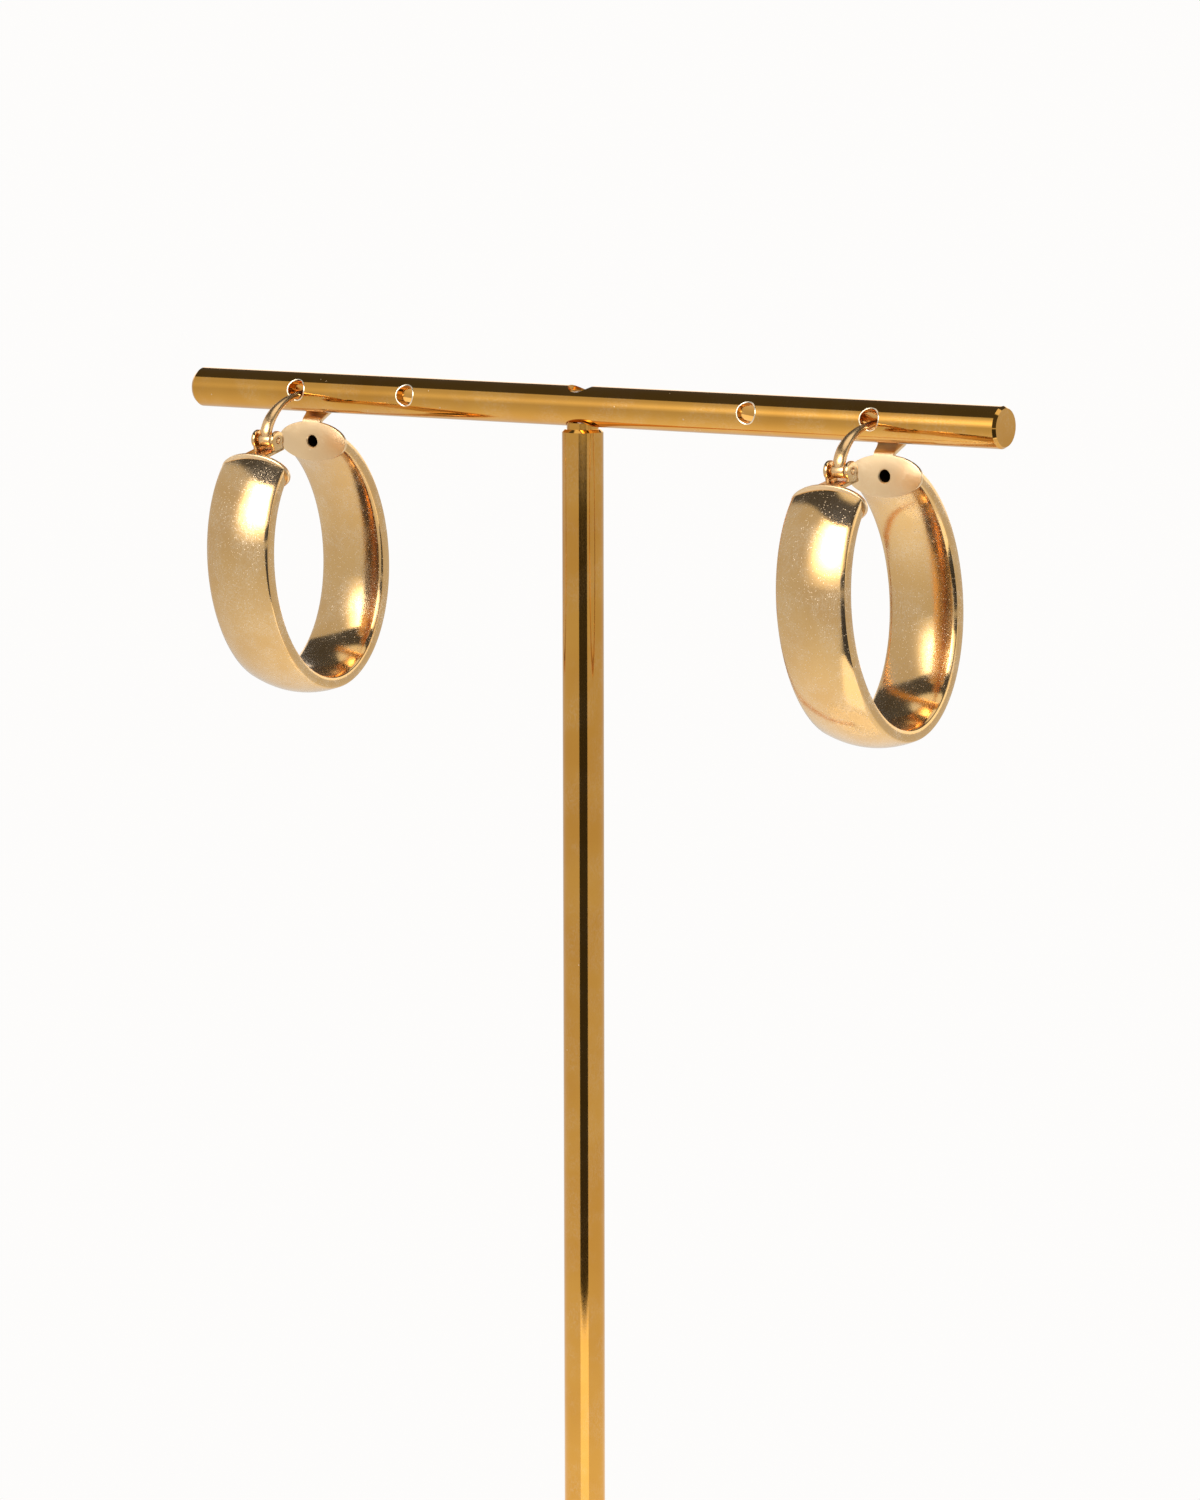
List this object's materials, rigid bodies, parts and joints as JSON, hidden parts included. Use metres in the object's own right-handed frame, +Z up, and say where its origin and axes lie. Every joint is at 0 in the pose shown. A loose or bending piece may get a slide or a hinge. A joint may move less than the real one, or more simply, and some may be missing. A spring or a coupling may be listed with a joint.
{
  "type": "pair of hoop earrings on t-bar stand",
  "caption": "Wide oval hollow hoop earrings with hinged ear wires, latched through the holes of a round T-bar display stand on a disc base.",
  "frame": {"origin": "centre of the base's underside, on the surface that the stand rests on", "axes": "+Z up along the post, X along the crossbar, -Y the front where the earrings' hinges are"},
  "size_m": [0.1194, 0.08, 0.1625],
  "materials": {
    "base_white": "satin white lacquer on steel",
    "stand_gold": "polished deep gold plating",
    "hoop_gold": "semi-polished pale yellow gold with fine scratches",
    "wire_gold": "polished gold wire",
    "screw_steel": "plain bright steel"
  },
  "bodies": {
    "stand": {"base": "base_white", "post": "stand_gold", "crossbar": "stand_gold", "bar_screw": "screw_steel", "left_ear_wire": "wire_gold", "right_ear_wire": "wire_gold"},
    "left_hoop": {"left_hoop": "hoop_gold", "left_hinge_pin": "wire_gold"},
    "right_hoop": {"right_hoop": "hoop_gold", "right_hinge_pin": "wire_gold"}
  },
  "joints": [
    {"name": "left_hoop_hinge", "type": "hinge", "parent": "stand", "child": "left_hoop", "pos_m": [-0.04209, -0.00886, 0.15452], "axis": [-0.9997, -0.014, 0.0209], "range_deg": [0, 75]},
    {"name": "right_hoop_hinge", "type": "hinge", "parent": "stand", "child": "right_hoop", "pos_m": [0.04252, -0.00839, 0.15479], "axis": [-0.9993, 0.0262, -0.0262], "range_deg": [0, 75]}
  ]
}
